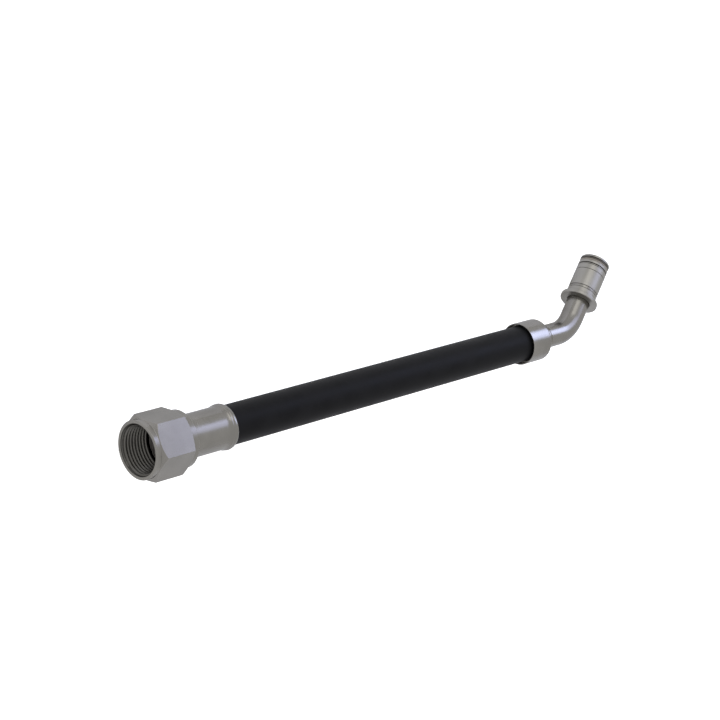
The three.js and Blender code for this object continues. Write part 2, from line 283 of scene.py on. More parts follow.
def wire_ring(
    name: str, axis: Axis, position: float, ring_radius: float, wire_radius: float, gap: float = 0.0
) -> bpy.types.Object:
    """Bends a round section into a ring.

    Args:
        name: the new piece's name.
        axis: the axis the ring lies round.
        position: where its middle is on the axis.
        ring_radius: from the axis to the middle of the section.
        wire_radius: radius of the section.
        gap: opening between its two ends in millimetres, or 0 for an endless ring.

    Returns:
        The closed, outward-facing piece.
    """
    bpy.ops.object.select_all(action="DESELECT")
    bpy.ops.mesh.primitive_circle_add(
        vertices=SECTION_SIDES, radius=wire_radius * MM, location=axis.place(position, -ring_radius),
        rotation=(math.pi / 2, 0, axis.turn),
    )
    piece = new_piece(name)
    enter_edit(piece)
    angle = FULL_TURN - gap / ring_radius
    bpy.ops.mesh.spin(steps=SIDES, angle=angle, center=axis.origin, axis=axis.direction)
    if gap:
        bpy.ops.mesh.select_all(action="SELECT")
        bpy.ops.mesh.fill_holes(sides=0)
    close_surface()
    if gap:
        round_edges(piece, FINE_ROUNDING)
    smooth(piece)
    return piece


def mark_edges_and_shaded_corners(piece: bpy.types.Object) -> None:
    """Stores how far each vertex stands on an outer edge ("proud") or in a corner ("sunk"); the steel
    makes the edges lighter and paints shade into the corners.
    """
    low, full = math.radians(16), math.radians(42)
    mesh = bmesh.new()
    mesh.from_mesh(piece.data)
    proud, sunk = [], []
    for vertex in mesh.verts:
        bends = [edge.calc_face_angle_signed(0.0) for edge in vertex.link_edges]
        proud.append(min(max((max(bends) - low) / (full - low), 0.0), 1.0))
        sunk.append(min(max((-min(bends) - low) / (full - low), 0.0), 1.0))
    mesh.free()
    for name, values in (("proud", proud), ("sunk", sunk)):
        attribute = piece.data.attributes.new(name, "FLOAT", "POINT")
        attribute.data.foreach_set("value", values)


def mark_rest(piece: bpy.types.Object, axis: Axis) -> None:
    """Stores each vertex's unbent place, in metres from the axis, as "rest" for patterns to follow."""
    rest = []
    for vertex in piece.data.vertices:
        rest.extend(vertex.co - axis.origin)
    attribute = piece.data.attributes.new("rest", "FLOAT_VECTOR", "POINT")
    attribute.data.foreach_set("vector", rest)


# ---- finishes -----------------------------------------------------------------------


class Wiring:
    """A Principled material being wired, with short names for the nodes that the finishes share."""

    def __init__(
        self, name: str, color: Color, roughness: float, metallic: float = 0.0, specular: float = 0.5
    ) -> None:
        """Starts the material.

        Args:
            name: the material's name.
            color: its plain base colour.
            roughness: its plain roughness.
            metallic: 1 for bare or plated metal.
            specular: strength of the gloss of what isn't metal.
        """
        self.material = bpy.data.materials.new(name)
        self.material.use_nodes = True
        self.tree = self.material.node_tree
        self.shader = self.tree.nodes["Principled BSDF"]
        self.shader.inputs["Base Color"].default_value = (*color, 1)
        self.shader.inputs["Roughness"].default_value = roughness
        self.shader.inputs["Metallic"].default_value = metallic
        self.shader.inputs["Specular IOR Level"].default_value = specular

    def join(self, socket: bpy.types.NodeSocket, value: object) -> None:
        """Feeds an input with another node's output or with a plain value."""
        if isinstance(value, bpy.types.NodeSocket):
            self.tree.links.new(value, socket)
        else:
            socket.default_value = value

    def places(self, axis: Axis) -> tuple[bpy.types.NodeSocket, ...]:
        """Object coordinates measured from an axis: along it, level across it, and up."""
        coordinates = self.tree.nodes.new("ShaderNodeTexCoord")
        mapping = self.tree.nodes.new("ShaderNodeMapping")
        turn = Matrix.Rotation(-axis.turn, 3, "Z")
        mapping.inputs["Rotation"].default_value = (0, 0, -axis.turn)
        mapping.inputs["Location"].default_value = -(turn @ axis.origin)
        self.tree.links.new(coordinates.outputs["Object"], mapping.inputs["Vector"])
        return self.split(mapping.outputs["Vector"])

    def split(self, vector: bpy.types.NodeSocket) -> tuple[bpy.types.NodeSocket, ...]:
        """The three components of a vector."""
        node = self.tree.nodes.new("ShaderNodeSeparateXYZ")
        self.tree.links.new(vector, node.inputs[0])
        return tuple(node.outputs)

    def vector(self, x: object, y: object, z: object) -> bpy.types.NodeSocket:
        """A vector of three components."""
        node = self.tree.nodes.new("ShaderNodeCombineXYZ")
        for socket, value in zip(node.inputs, (x, y, z)):
            self.join(socket, value)
        return node.outputs[0]

    def attribute(self, name: str, output: str = "Fac") -> bpy.types.NodeSocket:
        """An attribute of the piece's own mesh."""
        node = self.tree.nodes.new("ShaderNodeAttribute")
        node.attribute_name = name
        return node.outputs[output]

    def sum(self, operation: str, first: object, second: object = 0.0) -> bpy.types.NodeSocket:
        """One step of arithmetic."""
        node = self.tree.nodes.new("ShaderNodeMath")
        node.operation = operation
        self.join(node.inputs[0], first)
        self.join(node.inputs[1], second)
        return node.outputs[0]

    def noise(
        self, vector: bpy.types.NodeSocket, scale: float, detail: float = 2.0
    ) -> bpy.types.NodeSocket:
        """Smooth noise around 0.5."""
        node = self.tree.nodes.new("ShaderNodeTexNoise")
        node.inputs["Scale"].default_value = scale
        node.inputs["Detail"].default_value = detail
        self.tree.links.new(vector, node.inputs["Vector"])
        return node.outputs[0]

    def span(
        self, value: bpy.types.NodeSocket, source: Point, target: Point
    ) -> bpy.types.NodeSocket:
        """A value carried from one range to another and held at its ends."""
        node = self.tree.nodes.new("ShaderNodeMapRange")
        self.tree.links.new(value, node.inputs["Value"])
        for name, number in zip(RANGE_SOCKETS, (*source, *target)):
            node.inputs[name].default_value = number
        return node.outputs[0]

    def mix(
        self, factor: bpy.types.NodeSocket, low: Color | bpy.types.NodeSocket, high: Color
    ) -> bpy.types.NodeSocket:
        """A colour between two."""
        node = self.tree.nodes.new("ShaderNodeMix")
        node.data_type = "RGBA"
        self.tree.links.new(factor, node.inputs["Factor"])
        for name, color in (("A", low), ("B", high)):
            socket = next(i for i in node.inputs if i.name == name and i.type == "RGBA")
            self.join(socket, (*color, 1) if isinstance(color, tuple) else color)
        return next(o for o in node.outputs if o.type == "RGBA")

    def color(self, value: bpy.types.NodeSocket) -> None:
        """Feeds the base colour."""
        self.tree.links.new(value, self.shader.inputs["Base Color"])

    def roughness(self, value: bpy.types.NodeSocket) -> None:
        """Feeds the roughness."""
        self.tree.links.new(value, self.shader.inputs["Roughness"])

    def relief(self, *layers: tuple[bpy.types.NodeSocket, float]) -> None:
        """Feeds the surface relief.

        Args:
            layers: a height and its full depth in millimetres, one pair for each layer.
        """
        normal = None
        for height, depth in layers:
            node = self.tree.nodes.new("ShaderNodeBump")
            node.inputs["Strength"].default_value = 1.0
            node.inputs["Distance"].default_value = depth * MM
            self.tree.links.new(height, node.inputs["Height"])
            if normal:
                self.tree.links.new(normal, node.inputs["Normal"])
            normal = node.outputs[0]
        self.tree.links.new(normal, self.shader.inputs["Normal"])


class Grain(Enum):
    """Which way the tool marks of a steel surface run."""

    RINGS = "round the axis, left by a lathe"
    LINES = "along the axis, left by drawing"
    FINE = "no direction, as on wire and filler metal"


@dataclass(frozen=True)
class Steel:
    """Zinc-plated steel: faint mottling, tool marks, brighter edges and corners darkened with painted
    shade.

    Attributes:
        name: the material's name.
        axis: the axis of the piece it is on.
        color: base colour of the open surface.
        roughness: middle roughness.
        grain: which way the tool marks run.
        mark_depth: depth of the tool marks in millimetres.
    """

    name: str
    axis: Axis
    color: Color = (0.205, 0.197, 0.184)
    roughness: float = 0.24
    grain: Grain = Grain.RINGS
    mark_depth: float = 0.0012

    def marks(self, wiring: Wiring, scale: float) -> bpy.types.NodeSocket:
        """Tool marks as noise drawn out along the grain.

        Args:
            wiring: the material being wired.
            scale: marks in a metre, across the grain.

        Returns:
            The height of the marks.
        """
        along, across, up = wiring.places(self.axis)
        if self.grain is Grain.RINGS:
            out = wiring.sum("SQRT", wiring.sum("ADD", wiring.sum("MULTIPLY", across, across),
                                                wiring.sum("MULTIPLY", up, up)))
            return wiring.noise(wiring.vector(along, out, 0.0), scale, 3.0)
        if self.grain is Grain.LINES:
            stretched = wiring.sum("MULTIPLY", along, 0.02)
            return wiring.noise(wiring.vector(stretched, across, up), scale, 3.0)
        return wiring.noise(wiring.vector(along, across, up), scale, 2.0)

    def material(self) -> bpy.types.Material:
        """Builds the material."""
        wiring = Wiring(self.name, self.color, self.roughness, metallic=1.0)
        wiring.shader.inputs["Specular Tint"].default_value = (0.75, 0.75, 0.75, 1)
        place = wiring.vector(*wiring.places(self.axis))
        mottle = wiring.noise(place, 90.0, 4.0)
        crystals = wiring.noise(place, 2600.0, 2.0)
        fine, coarse = self.marks(wiring, 5200.0), self.marks(wiring, 700.0)
        lighter = tuple(1.07 * c for c in self.color)
        darker = tuple(0.93 * c for c in self.color)
        # painted shade: corners ("sunk") are darkened towards this colour, and outer edges ("proud")
        # are made lighter
        painted_corner_shade = (0.11, 0.10, 0.09)
        bright = tuple(min(1.5 * c, 1.0) for c in self.color)
        tone = wiring.mix(wiring.span(mottle, NOISE_CORE, UNIT), darker, lighter)
        tone = wiring.mix(wiring.sum("MULTIPLY", wiring.attribute("sunk"), 0.45), tone, painted_corner_shade)
        tone = wiring.mix(wiring.sum("MULTIPLY", wiring.attribute("proud"), 0.5), tone, bright)
        wiring.color(tone)
        uneven = wiring.sum(
            "ADD", wiring.sum("MULTIPLY", mottle, 0.6), wiring.sum("MULTIPLY", coarse, 0.4))
        roughness_range = (self.roughness - 0.04, self.roughness + 0.04)
        wiring.roughness(wiring.span(uneven, NOISE_CORE, roughness_range))
        crystal_depth = 0.0008
        wiring.relief((fine, self.mark_depth), (coarse, self.mark_depth), (crystals, crystal_depth))
        return wiring.material


def braze_metal(name: str, axis: Axis) -> bpy.types.Material:
    """Yellowish filler metal with a rippled surface."""
    return Steel(name, axis, (0.23, 0.2, 0.15), 0.38, Grain.FINE, mark_depth=0.012).material()


@dataclass(frozen=True)
class BraidedWire:
    """Brass-coated wire braid: two sets of strands crossing over and under each other, with painted
    shadow between them.

    Attributes:
        color: base colour of the wire.
        strands: strands of one set round the hose.
        radius: middle radius of the braid in millimetres.
        lay: angle of the strands to the hose axis, in degrees.
    """

    color: Color = (0.5, 0.4, 0.24)
    strands: int = 24
    radius: float = 9.9
    lay: float = 54.7

    def material(self) -> bpy.types.Material:
        """Builds the material from the piece's unbent places."""
        wiring = Wiring("braided_wire", self.color, 0.34, metallic=1.0)
        along, across, up = wiring.split(wiring.attribute("rest", "Vector"))
        around = wiring.sum("ARCTAN2", up, across)
        pitch = FULL_TURN * self.radius * MM / math.tan(math.radians(self.lay))
        travel = wiring.sum("MULTIPLY", along, FULL_TURN / pitch)
        sets = [
            wiring.sum("SINE", wiring.sum("MULTIPLY", wiring.sum(way, around, travel), self.strands))
            for way in ("ADD", "SUBTRACT")
        ]
        weave = wiring.sum("MAXIMUM", *sets)
        # painted shadow: the hollows between the strands are darkened towards this colour
        painted_weave_shadow, weave_depth = (0.12, 0.09, 0.05), 0.18
        wiring.color(wiring.mix(wiring.span(weave, (-0.4, 0.9), UNIT), painted_weave_shadow, self.color))
        wiring.relief((weave, weave_depth))
        return wiring.material


@dataclass(frozen=True)
class Rubber:
    """Black or brown rubber: soft unevenness, faint drawing lines and a little dust.

    Attributes:
        name: the material's name.
        color: base colour.
        roughness: middle roughness.
        specular: strength of its gloss.
        dust: share of dust colour on the open surface.
        line_depth: depth of the lines along it in millimetres.
    """

    name: str
    color: Color
    roughness: float = 0.5
    specular: float = 0.3
    dust: float = 0.0
    line_depth: float = 0.01

    def material(self) -> bpy.types.Material:
        """Builds the material from the piece's unbent places."""
        wiring = Wiring(self.name, self.color, self.roughness, specular=self.specular)
        rest = wiring.attribute("rest", "Vector")
        along, across, up = wiring.split(rest)
        cloud = wiring.noise(rest, 70.0, 4.0)
        grain = wiring.noise(rest, 1800.0, 3.0)
        stretched = wiring.sum("MULTIPLY", along, 0.03)
        lines = wiring.noise(wiring.vector(stretched, across, up), 900.0, 2.0)
        specks = wiring.span(wiring.noise(rest, 1300.0, 1.0), (0.72, 0.8), UNIT)
        lighter = tuple(1.35 * c + 0.002 for c in self.color)
        tone = wiring.mix(wiring.span(cloud, (0.35, 0.7), UNIT), self.color, lighter)
        dust_color, grain_depth = (0.11, 0.11, 0.12), 0.008
        wiring.color(wiring.mix(wiring.sum("MULTIPLY", specks, self.dust), tone, dust_color))
        roughness_range = (self.roughness - 0.06, self.roughness + 0.08)
        wiring.roughness(wiring.span(cloud, NOISE_CORE, roughness_range))
        wiring.relief((lines, self.line_depth), (grain, grain_depth))
        return wiring.material


@dataclass(frozen=True)
class FilledPtfe:
    """Bronze-filled PTFE: waxy, with fine darker grains."""

    color: Color = (0.22, 0.2, 0.175)

    def material(self) -> bpy.types.Material:
        """Builds the material."""
        wiring = Wiring("filled_ptfe", self.color, 0.5, specular=0.4)
        rest = wiring.attribute("rest", "Vector")
        grains = wiring.noise(rest, 3000.0, 2.0)
        grain_color, grain_depth = (0.13, 0.11, 0.09), 0.01
        wiring.color(wiring.mix(wiring.span(grains, (0.4, 0.65), UNIT), self.color, grain_color))
        wiring.relief((grains, grain_depth))
        return wiring.material


# ---- pieces on the frame ------------------------------------------------------------


class Fitter:
    """Puts finished pieces in place of the CAD nodes that they stand for."""

    def __init__(self, record: dict) -> None:
        """Reads which body and which material slot each node has."""
        self.bodies = {
            node: body for body, nodes in record["behaviour"]["bodies"].items() for node in nodes
        }
        self.slots = {part["node"]: part["material_slot"] for part in record["subparts"]}

    def dress(self, piece: bpy.types.Object, node: str, *finishes: bpy.types.Material) -> None:
        """Gives a piece its materials and says which node it stands for.

        Args:
            piece: the finished mesh.
            node: the CAD node's name.
            finishes: its materials, in slot order.
        """
        for finish in finishes:
            piece.data.materials.append(finish)
        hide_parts(node)
        log.info("%s: %d faces in place of %s", piece.name, len(piece.data.polygons), node)

    def fit(self, piece: bpy.types.Object, node: str, *finishes: bpy.types.Material) -> None:
        """Dresses a rigid piece, which rides on its node's body."""
        mark_edges_and_shaded_corners(piece)
        self.dress(piece, node, *finishes)
        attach(piece, self.bodies[node])


# ---- nut end ------------------------------------------------------------------------


@dataclass
class NutEnd:
    """Swivel nut, flat-faced stem, thrust wire and crimped ferrule.

    Attributes:
        axis: the hose axis.
        nut_length: length of the nut.
        across_flats: width of the nut's hexagon.
        clocking: turn of the hexagon's corners from level, in degrees.
        front_collar: end and radius of the round collar ahead of the hexagon.
        rear_collar: start and radius of the round collar behind it.
        corners: first and last position of the hexagon's full corners.
        rear_hole: radius of the hole behind the thread.
        pitch: thread pitch.
        major: thread's major radius.
        minor: thread's minor radius.
        mouth_depth: depth of the plain mouth ahead of the thread.
        seal_face: position of the stem's sealing face.
        cone_start: position where the stem's head turns into its cone.
        wire: position of the thrust wire.
        wire_radii: radius of the thrust wire's ring and of the wire itself.
        wire_gap: opening between the wire's two ends.
        groove_half: half the width of the grooves that the wire lies in.
        ferrule_front: position of the ferrule's front face.
        ferrule_rear: position of its rear rim.
        ferrule_radius: radius of its barrel.
        crimp_end: position where the crimped barrel ends.
        lip: thickness of the ferrule's inward lip.
        neck: radius of the stem's neck.
        bore: radius of the stem's bore.
    """

    axis: Axis
    nut_length: float = 30.4
    across_flats: float = 34.925
    clocking: float = -14.0
    front_collar: Point = (3.0, 17.2)
    rear_collar: Point = (26.6, 17.0)
    corners: Point = (5.2, 24.8)
    rear_hole: float = 10.0
    pitch: float = 25.4 / 12
    major: float = 15.08
    minor: float = 13.95
    mouth_depth: float = 0.6
    seal_face: float = 19.0
    cone_start: float = 21.7
    wire: float = 27.5
    wire_radii: Point = (9.75, 0.65)
    wire_gap: float = 3.0
    groove_half: float = 1.0
    ferrule_front: float = 31.6
    ferrule_rear: float = 63.6
    ferrule_radius: float = 12.85
    crimp_end: float = 57.0
    lip: float = 3.0
    neck: float = 9.6
    bore: float = 5.9

    @property
    def corner_radius(self) -> float:
        """From the axis to a corner of the nut's hexagon."""
        return self.across_flats / math.sqrt(3)

    def nut_blank(self) -> bpy.types.Object:
        """The turned shape of the nut, round outside, without its thread."""
        corner = self.corner_radius + 0.1
        groove_start, groove_end = self.wire - self.groove_half, self.wire + self.groove_half
        groove_bottom = self.rear_hole + 0.7
        mouth = self.major + 0.1
        relief = self.major + 0.22
        cone_end = self.cone_start + 4.1
        cone_start = cone_end - (relief - self.rear_hole)
        outline = [
            (0, self.front_collar[1]),
            self.front_collar,
            (self.corners[0], corner),
            (self.corners[1], corner),
            self.rear_collar,
            (self.nut_length, self.rear_collar[1]),
            (self.nut_length, self.rear_hole),
            (groove_end, self.rear_hole),
            (groove_end, groove_bottom),
            (groove_start, groove_bottom),
            (groove_start, self.rear_hole),
            (cone_end, self.rear_hole),
            (cone_start, relief),
            (self.seal_face, relief),
            (self.seal_face - relief + self.minor, self.minor),
            (self.mouth_depth + mouth - self.minor, self.minor),
            (self.mouth_depth, mouth),
            (0, mouth),
        ]
        return turned("swivel_nut.fine", outline, self.axis, rounding=0)

    def hexagon(self) -> bpy.types.Object:
        """The hexagonal bar that the nut is made from."""
        clock = Matrix.Rotation(math.radians(self.clocking), 3, "X")
        lie_down = clock @ Matrix.Rotation(math.pi / 2, 3, "Y")
        overrun = 2
        bpy.ops.object.select_all(action="DESELECT")
        bpy.ops.mesh.primitive_cylinder_add(
            vertices=6, radius=self.corner_radius * MM, depth=(self.nut_length + overrun) * MM,
            location=self.axis.place(self.nut_length / 2), rotation=lie_down.to_euler(),
        )
        return new_piece("hexagon")

    def thread_cutter(self) -> bpy.types.Object:
        """The helical groove of the thread, from ahead of the mouth to the relief behind it."""
        start, turns, flank = -1.5, 10, math.tan(math.radians(30))
        root = self.minor - 0.35
        crest_half = self.pitch / 16
        root_half = crest_half + (self.major - root) * flank
        section = [
            (start - root_half, root), (start - crest_half, self.major),
            (start + crest_half, self.major), (start + root_half, root),
        ]
        cutter = trace("thread_cutter", [self.axis.place(*point) for point in section])
        leave_edit()
        bpy.context.scene.cursor.location = self.axis.origin
        bpy.ops.object.origin_set(type="ORIGIN_CURSOR")
        screw = cutter.modifiers.new("helix", "SCREW")
        screw.axis = "X"
        screw.screw_offset = self.pitch * MM
        screw.iterations = turns
        screw.steps = screw.render_steps = SIDES
        apply_modifier(cutter, screw)
        bpy.ops.object.transform_apply(location=True, rotation=True, scale=True)
        enter_edit(cutter)
        bpy.ops.mesh.fill_holes(sides=0)
        close_surface()
        return cutter

    def swivel_nut(self) -> bpy.types.Object:
        """The nut: blank and bar combined, edges rounded, thread cut last."""
        nut = self.nut_blank()
        combine(nut, self.hexagon(), "INTERSECT")
        round_edges(nut, 0.2)
        combine(nut, self.thread_cutter(), "DIFFERENCE")
        smooth(nut)
        return nut

    def swivel_stem(self) -> bpy.types.Object:
        """The stem: sealing head, coned shoulder, wire groove and barbed tail."""
        head, shoulder = 13.5, self.ferrule_front + self.lip + 0.3
        tail, pitch, root, crest = 37.3, 4.5, 7.1, 7.6
        shoulder_radius, barb_count = 10.9, 5
        barbs = [
            (tail + i * pitch + x, r)
            for i in range(barb_count)
            for x, r in ((0, root), (0.85 * pitch, crest), (pitch - 0.15, crest))
        ]
        barbs_end = tail + barb_count * pitch
        groove_start, groove_end = self.wire - self.groove_half, self.wire + self.groove_half
        groove_bottom = self.neck - 0.8
        outline = [
            (self.seal_face, self.bore), (self.seal_face, head), (self.cone_start, head),
            (self.cone_start + head - self.neck, self.neck),
            (groove_start, self.neck), (groove_start, groove_bottom),
            (groove_end, groove_bottom), (groove_end, self.neck),
            (shoulder, self.neck), (shoulder, shoulder_radius), (tail, shoulder_radius),
            *barbs, (barbs_end, root), (barbs_end + 2, root - 0.4), (barbs_end + 2, self.bore),
        ]
        return turned("swivel_stem.fine", outline, self.axis, rounding=FINE_ROUNDING)

    def ferrule(self) -> bpy.types.Object:
        """The ferrule: chamfered front, crimped barrel, and a flare into a rounded bead."""
        front_radius, rim_radius, crimped_bore = 11.6, 13.15, 11.35
        flare_start, crease, crest = self.crimp_end - 0.5, (60.0, 13.55), 13.8
        rise, run = crease[1] - self.ferrule_radius, crease[0] - flare_start
        flare = (run ** 2 + rise ** 2) / (2 * rise)
        sweep = math.degrees(math.asin(run / flare))
        bead_middle = (crease[0] + self.ferrule_rear) / 2 + 0.1
        bead = 3.0
        outline = [
            (self.ferrule_front, front_radius),
            (self.ferrule_front + 2, self.ferrule_radius),
            *arc((flare_start, self.ferrule_radius + flare), flare, -90, -90 + sweep),
            *arc((bead_middle, crest - bead), bead, 124, 56, 10)[1:],
            (self.ferrule_rear, rim_radius), (self.ferrule_rear, 12.7),
            (self.ferrule_rear - 2, 12.4), (self.crimp_end, crimped_bore),
            (self.ferrule_front + self.lip, crimped_bore),
            (self.ferrule_front + self.lip, self.neck + 0.3),
            (self.ferrule_front, self.neck + 0.3),
        ]
        return turned("nut_end_ferrule.fine", outline, self.axis)

    def build(self, fitter: Fitter) -> None:
        """Makes the pieces of the nut end and fits them."""
        turned_steel = Steel("turned_steel", self.axis).material()
        nut_steel = Steel("nut_steel", self.axis).material()
        # painted shade: the thread in the nut's bore gets a darker, rougher copy of the steel,
        # standing for the shade inside it
        painted_shade_thread_steel = Steel("painted_shade_thread_steel", self.axis, (0.085, 0.082, 0.076), 0.3).material()
        faced_steel = Steel("faced_steel", self.axis, (0.45, 0.43, 0.4), 0.5).material()
        bar_steel = Steel("nut_flats", self.axis, grain=Grain.LINES).material()
        wire_steel = Steel("spring_wire", self.axis, grain=Grain.FINE).material()
        flats_slot, thread_slot = 1, 2
        nut = self.swivel_nut()
        fitter.fit(nut, "swivel_nut", nut_steel, bar_steel, painted_shade_thread_steel)
        for face in nut.data.polygons:
            out = (face.center - self.axis.origin).yz.length / MM
            if abs(face.normal.x) < 0.01 and out > self.front_collar[1]:
                face.material_index = flats_slot
            elif out < self.major + 0.25 and face.normal.yz.length > 0.1:
                face.material_index = thread_slot
        stem = self.swivel_stem()
        fitter.fit(stem, "swivel_stem", turned_steel, faced_steel)
        faced_to = self.axis.place(self.seal_face + 0.1).x
        for face in stem.data.polygons:
            looks_forward = face.normal.x < -0.99
            face.material_index = int(looks_forward and face.center.x < faced_to)
        wire = wire_ring(
            "thrust_wire.fine", self.axis, self.wire, *self.wire_radii, gap=self.wire_gap)
        fitter.fit(wire, "thrust_wire", wire_steel)
        fitter.fit(self.ferrule(), "nut_end_ferrule", turned_steel)


# ---- hose ---------------------------------------------------------------------------


@dataclass
class Hose:
    """Rubber tube, wire braid and rubber cover, which run between the two ferrules.

    Attributes:
        axis: the hose axis.
        start: position of its cut end in the nut-end ferrule.
        end: position of its cut end in the elbow-end ferrule.
        bend_start: position where it leaves the nut-end ferrule; not used.
        bend_end: position where it enters the elbow-end ferrule; not used.
        radius: outer radius of the cover.
        crimped_radius: outer radius of the cover under the crimp.
        crimp: last position of the squeezed cover, and where it has its full radius again.
        cover_bore: inner radius of the cover.
        braid_inner: inner radius of the braid.
        braid_outer: outer radius of the braid.
        tube_outer: outer radius of the inner tube.
        bore: inner radius of the inner tube.
        cuts: rings along each layer, so that it bends smoothly.
    """

    axis: Axis
    start: float = 37.6
    end: float = 342.0
    bend_start: float = 63.6
    bend_end: float = 328.5
    radius: float = 12.05
    crimped_radius: float = 11.0
    crimp: Point = (57.0, 61.6)
    cover_bore: float = 10.5
    braid_inner: float = 9.6
    braid_outer: float = 10.2
    tube_outer: float = 9.3
    bore: float = 7.95
    cuts: int = 90

    def layer(self, name: str, inner: float, outer: float) -> bpy.types.Object:
        """A plain round layer of the hose."""
        outline = [(self.start, inner), (self.start, outer), (self.end, outer), (self.end, inner)]
        return turned(name, outline, self.axis, rounding=0.1, cuts=self.cuts)

    def cover(self) -> bpy.types.Object:
        """The cover, squeezed thin where the nut-end ferrule is crimped on it."""
        outline = [
            (self.start, self.cover_bore), (self.start, self.crimped_radius),
            (self.crimp[0], self.crimped_radius), (self.crimp[1], self.radius),
            (self.end, self.radius), (self.end, self.cover_bore),
        ]
        return turned("hose_cover.fine", outline, self.axis, rounding=0.1, cuts=self.cuts)

    def bend(self, layer: bpy.types.Object) -> None:
        """Bakes a layer's place into its mesh."""
        self.axis.place(self.bend_start)
        self.axis.place(self.bend_end)
        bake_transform(layer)

    def build(self, fitter: Fitter) -> None:
        cover_rubber = Rubber("cover_rubber", (0.0045, 0.0045, 0.0052), 0.5, 0.06, dust=0.04)
        tube_rubber = Rubber("tube_rubber", (0.012, 0.012, 0.012), 0.65, 0.3)
        cover = self.cover()
        inner_tube = self.layer("hose_inner_tube.fine", self.bore, self.tube_outer)
        braid = self.layer("hose_wire_braid.fine", self.braid_inner, self.braid_outer)
        finishes = {
            "hose_cover": (cover, cover_rubber.material()),
            "hose_inner_tube": (inner_tube, tube_rubber.material()),
            "hose_wire_braid": (braid, BraidedWire().material()),
        }
        for node, (layer, finish) in finishes.items():
            mark_rest(layer, self.axis)
            fitter.dress(layer, node, finish)
            self.bend(layer)
        steps, run = 24, self.end - self.start
        route = [self.axis.place(self.start + run * i / steps) for i in range(steps + 1)]
        self.axis.place(self.bend_start)


# ---- elbow end ----------------------------------------------------------------------


